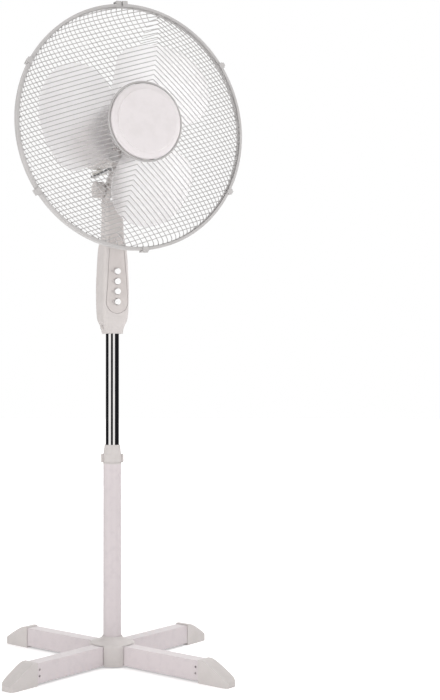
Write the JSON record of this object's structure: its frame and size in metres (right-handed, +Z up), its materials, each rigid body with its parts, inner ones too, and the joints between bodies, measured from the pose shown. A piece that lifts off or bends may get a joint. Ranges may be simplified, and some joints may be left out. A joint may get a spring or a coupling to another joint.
{
  "type": "pedestal fan",
  "caption": "free-standing electric fan on a cross base with telescopic pole, push-button column, tilting and oscillating head and wire guards",
  "frame": {"origin": "on the floor under the middle of the pole", "axes": "+Z up along the pole, the fan blows towards -Y, +X to the right seen from the back of the air stream"},
  "size_m": [0.4936, 0.4936, 1.1963],
  "materials": {
    "white_plastic": "satin moulded, warm white",
    "white_paint": "white powder coat",
    "white_wire": "white coated steel wire",
    "chrome": "polished",
    "blade_plastic": "frosted translucent, pale",
    "panel_plastic": "fine matt",
    "button_plastic": "glossy white",
    "inner_plastic": "plain moulded",
    "steel": "turned",
    "aluminium": "die cast",
    "lamination": "stacked steel sheets",
    "copper": "enamelled copper wire",
    "bronze": "sintered bearing"
  },
  "bodies": {
    "base": {"cross_bar_lower": "white_paint", "cross_bar_upper": "white_paint", "foot_cap_front_left": "white_plastic", "foot_cap_front_right": "white_plastic", "foot_cap_back_left": "white_plastic", "foot_cap_back_right": "white_plastic", "hub_cover": "white_plastic", "pole_flange": "steel", "base_screws": "steel", "lower_pole": "white_paint", "pole_collet": "white_plastic"},
    "collar_nut": {"collar_nut": "white_plastic"},
    "pole_slider": {"pole_guide_bush": "inner_plastic"},
    "column": {"chrome_pole": "chrome", "control_housing_front": "white_plastic", "control_housing_rear": "white_plastic", "control_panel": "panel_plastic", "switch_block": "inner_plastic", "run_capacitor": "inner_plastic", "cord_inlet_bush": "inner_plastic", "housing_screws": "steel", "pole_lock_screw": "white_plastic", "tilt_bolt": "steel"},
    "button_off": {"button_off": "button_plastic"},
    "button_low": {"button_low": "button_plastic"},
    "button_medium": {"button_medium": "button_plastic"},
    "button_high": {"button_high": "button_plastic"},
    "tilt_knob": {"tilt_knob": "white_plastic"},
    "neck": {"tilt_neck": "white_plastic"},
    "motor_head": {"motor_cover_front": "white_plastic", "motor_cover_rear": "white_plastic", "motor_front_bracket": "aluminium", "motor_rear_bracket": "aluminium", "stator_core": "lamination", "stator_windings": "copper", "motor_bearings": "bronze", "motor_screws": "steel", "gearbox_case": "inner_plastic", "rear_guard_frame": "white_wire", "rear_guard_wires": "white_wire", "guard_nut": "white_plastic", "front_guard_frame": "white_wire", "front_guard_wires": "white_wire", "badge_plate": "white_plastic", "guard_rim_ring": "white_plastic", "guard_rim_screw": "steel"},
    "oscillation_knob": {"oscillation_knob": "white_plastic"},
    "rotor": {"motor_shaft": "steel", "rotor_core": "lamination", "blade": "blade_plastic", "blade_nut": "white_plastic"},
    "worm_wheel": {"worm_wheel": "inner_plastic"},
    "clutch_pinion": {"clutch_pinion": "inner_plastic"},
    "crank_gear": {"crank_gear": "inner_plastic"},
    "link_rod": {"link_rod": "steel"},
    "rim_clip_upper_right": {"rim_clip_upper_right": "white_plastic"},
    "rim_clip_upper_left": {"rim_clip_upper_left": "white_plastic"},
    "rim_clip_lower_left": {"rim_clip_lower_left": "white_plastic"},
    "rim_clip_bottom": {"rim_clip_bottom": "white_plastic"},
    "rim_clip_lower_right": {"rim_clip_lower_right": "white_plastic"}
  },
  "joints": [
    {"name": "collar_turn", "type": "hinge", "parent": "base", "child": "collar_nut", "pos_m": [0, 0, 0.385], "axis": [0, 0, 1], "range_deg": [0, 120]},
    {"name": "height", "type": "slide", "parent": "base", "child": "pole_slider", "axis": [0, 0, 1], "range_m": [-0.15, 0.05]},
    {"name": "column_swivel", "type": "hinge", "parent": "pole_slider", "child": "column", "pos_m": [0, 0, 0.6], "axis": [0, 0, 1], "range_deg": [-180, 180]},
    {"name": "button_off_press", "type": "slide", "parent": "column", "child": "button_off", "axis": [0, 1, 0], "range_m": [0, 0.0035], "stiffness_N_per_m": 350},
    {"name": "button_low_press", "type": "slide", "parent": "column", "child": "button_low", "axis": [0, 1, 0], "range_m": [0, 0.0035], "stiffness_N_per_m": 350},
    {"name": "button_medium_press", "type": "slide", "parent": "column", "child": "button_medium", "axis": [0, 1, 0], "range_m": [0, 0.0035], "stiffness_N_per_m": 350},
    {"name": "button_high_press", "type": "slide", "parent": "column", "child": "button_high", "axis": [0, 1, 0], "range_m": [0, 0.0035], "stiffness_N_per_m": 350},
    {"name": "tilt_knob_turn", "type": "hinge", "parent": "column", "child": "tilt_knob", "pos_m": [-0.027, 0, 0.8715], "axis": [-1, 0, 0], "range_deg": [0, 180]},
    {"name": "tilt", "type": "hinge", "parent": "column", "child": "neck", "pos_m": [0, 0, 0.8715], "axis": [-1, 0, 0], "range_deg": [-12, 30]},
    {"name": "oscillation", "type": "hinge", "parent": "neck", "child": "motor_head", "pos_m": [0, -0.022, 0.93], "axis": [0, 0, 1], "range_deg": [-35, 35]},
    {"name": "oscillation_knob_push", "type": "slide", "parent": "motor_head", "child": "oscillation_knob", "axis": [0, 0, 1], "range_m": [-0.006, 0]},
    {"name": "blade_spin", "type": "hinge", "parent": "motor_head", "child": "rotor", "pos_m": [0, -0.05, 0.9714], "axis": [0, 1, 0], "continuous": true},
    {"name": "worm_wheel_turn", "type": "hinge", "parent": "motor_head", "child": "worm_wheel", "pos_m": [0.0205, 0.066, 0.9714], "axis": [0, 0, 1], "continuous": true},
    {"name": "clutch_turn", "type": "hinge", "parent": "motor_head", "child": "clutch_pinion", "pos_m": [0.0205, 0.066, 0.96], "axis": [0, 0, 1], "range_deg": [-170, 170]},
    {"name": "crank_turn", "type": "hinge", "parent": "motor_head", "child": "crank_gear", "pos_m": [0.0013, 0.066, 0.93], "axis": [0, 0, 1], "range_deg": [-60, 60]},
    {"name": "link_swing", "type": "hinge", "parent": "neck", "child": "link_rod", "pos_m": [-0.014, -0.022, 0.9074], "axis": [0, 0, 1], "range_deg": [-45, 45]},
    {"name": "rim_clip_upper_right_open", "type": "hinge", "parent": "motor_head", "child": "rim_clip_upper_right", "pos_m": [0.17912, -0.0842, 1.10154], "axis": [-0.5878, 0, 0.809], "range_deg": [0, 95]},
    {"name": "rim_clip_upper_left_open", "type": "hinge", "parent": "motor_head", "child": "rim_clip_upper_left", "pos_m": [-0.19727, -0.0842, 1.07191], "axis": [-0.454, 0, -0.891], "range_deg": [0, 95]},
    {"name": "rim_clip_lower_left_open", "type": "hinge", "parent": "motor_head", "child": "rim_clip_lower_left", "pos_m": [-0.18136, -0.0842, 0.84441], "axis": [0.5736, 0, -0.8191], "range_deg": [0, 95]},
    {"name": "rim_clip_bottom_open", "type": "hinge", "parent": "motor_head", "child": "rim_clip_bottom", "pos_m": [0.02314, -0.0842, 0.75121], "axis": [0.9945, 0, 0.1045], "range_deg": [0, 95]},
    {"name": "rim_clip_lower_right_open", "type": "hinge", "parent": "motor_head", "child": "rim_clip_lower_right", "pos_m": [0.19548, -0.0842, 0.86746], "axis": [0.4695, 0, 0.8829], "range_deg": [0, 95]}
  ],
  "couplings": [
    {"joint": "worm_wheel_turn", "follows": "blade_spin", "ratio": 0.025},
    {"joint": "clutch_turn", "follows": "oscillation", "ratio": 4.1172},
    {"joint": "crank_turn", "follows": "oscillation", "ratio": -1.3724},
    {"joint": "link_swing", "follows": "oscillation", "ratio": 1}
  ]
}
